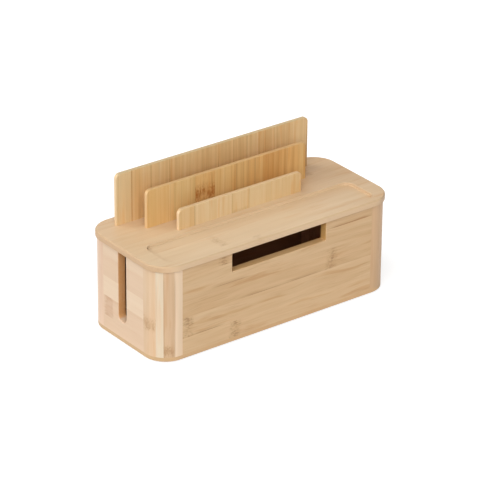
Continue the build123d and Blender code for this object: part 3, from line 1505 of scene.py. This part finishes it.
@dataclass
class Studio:
    """The pale floor, the soft light and the camera.

    Attributes:
        azimuth: How far round from the front the camera stands, in degrees to the right.
        elevation: How far above the level of its aim it stands, in degrees.
        roll: How far it is rolled about its view, in degrees.
        distance: How far from its aim it stands.
        aim: What it looks at.
        lens: Its focal length, in mm.
        sight: How far it sees.
        floor_side: How long the floor is each way.
        floor_grey: How pale the floor is before it is lifted.
        lift: How much the floor is lifted towards white where it is seen.
        world_strength: How brightly the surround lights the object, where 1 is full white.
        softboxes: The lamps.
    """

    azimuth: float = -37.322
    elevation: float = 26.362
    roll: float = 0.503
    distance: float = 3.42025
    aim: Triple = (0.01779, 0.02655, 0.06587)
    lens: float = 222.965
    sight: float = 100.0
    floor_side: float = 30.0
    floor_grey: float = 0.55
    lift: float = 0.66
    world_strength: float = 0.15
    softboxes: tuple[Softbox, ...] = (
        Softbox("front_left_softbox", (-0.583, -0.583, 0.565), 62.0, 0.86),
        Softbox("back_left_softbox", (-0.569, 0.478, 0.669), 50.0, 0.46),
        Softbox("right_fill", (0.663, -0.383, 0.643), 60.0, 0.12),
    )

    def camera(self) -> None:
        """Adds the camera: it stands off from its aim at its angles, and rolls about its view."""
        turn, rise, roll = (math.radians(a) for a in (self.azimuth, self.elevation, self.roll))
        back = Vector((
            math.sin(turn) * math.cos(rise), -math.cos(turn) * math.cos(rise), math.sin(rise),
        ))
        level = Vector((math.cos(turn), math.sin(turn), 0.0))
        upright = back.cross(level)
        right = level * math.cos(roll) + upright * math.sin(roll)
        up = upright * math.cos(roll) - level * math.sin(roll)
        data = bpy.data.cameras.new("camera")
        data.lens = self.lens
        data.clip_end = self.sight
        holder = add_object("camera", data)
        place = Matrix.Translation(Vector(self.aim) + back * self.distance)
        holder.matrix_world = place @ Matrix((right, up, back)).transposed().to_4x4()
        bpy.context.scene.camera = holder

    def seen(self, tree: Tree) -> Node:
        """Whether a surface is seen, straight, in a mirror or through glass.

        Args:
            tree: The node tree of its material, or of the world.

        Returns:
            1 where it is seen, and 0 where it only lights other surfaces.
        """
        path = add_node(tree, "LightPath")
        total = 0.0
        for sight in Sight:
            total = add_node(
                tree, "Math", [path.outputs[sight.value], total], operation="ADD",
                use_clamp=True,
            )
        return total

    def world(self) -> None:
        """Adds an even white surround, at full white where it is seen."""
        world = bpy.data.worlds.new("white_surround")
        world.use_nodes = True
        tree = world.node_tree
        tree.nodes.clear()
        strength = add_node(tree, "MapRange", [self.seen(tree), 0.0, 1.0, self.world_strength, 1.0])
        white = add_node(tree, "Background", {"Color": linear("ffffff"), "Strength": strength})
        add_node(tree, "OutputWorld", [white])
        bpy.context.scene.world = world

    def floor(self) -> None:
        """Adds a matt white floor, which is lifted to white where it is seen and keeps shadows."""
        half = self.floor_side / 2
        corners = [(-half, -half, 0), (half, -half, 0), (half, half, 0), (-half, half, 0)]
        mesh = bpy.data.meshes.new("floor")
        mesh.from_pydata(corners, [], [(0, 1, 2, 3)])
        material = empty_material("matt_white_floor")
        tree = material.node_tree
        matt = add_node(tree, "BsdfDiffuse", {"Color": (self.floor_grey,) * 3 + (1.0,)})
        strength = add_node(tree, "Math", [self.seen(tree), self.lift], operation="MULTIPLY")
        glow = add_node(tree, "Emission", {"Strength": strength})
        both = add_node(tree, "AddShader", [matt, glow])
        add_node(tree, "OutputMaterial", [both])
        mesh.materials.append(material)
        add_object("floor", mesh)

    def build(self) -> None:
        """Sets up the camera, the surround, the floor and the lamps."""
        self.camera()
        self.world()
        self.floor()
        for softbox in self.softboxes:
            softbox.build()
        bpy.context.scene.view_settings.view_transform = "Standard"
        log.info("studio: camera, surround, floor and %d lamps", len(self.softboxes))


def main() -> None:
    """Builds the studio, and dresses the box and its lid."""
    logging.basicConfig(level=logging.INFO, format="%(name)s: %(message)s")
    Studio().build()
    Carcass().dress()
    Lid().dress()


if __name__ == "__main__":
    main()
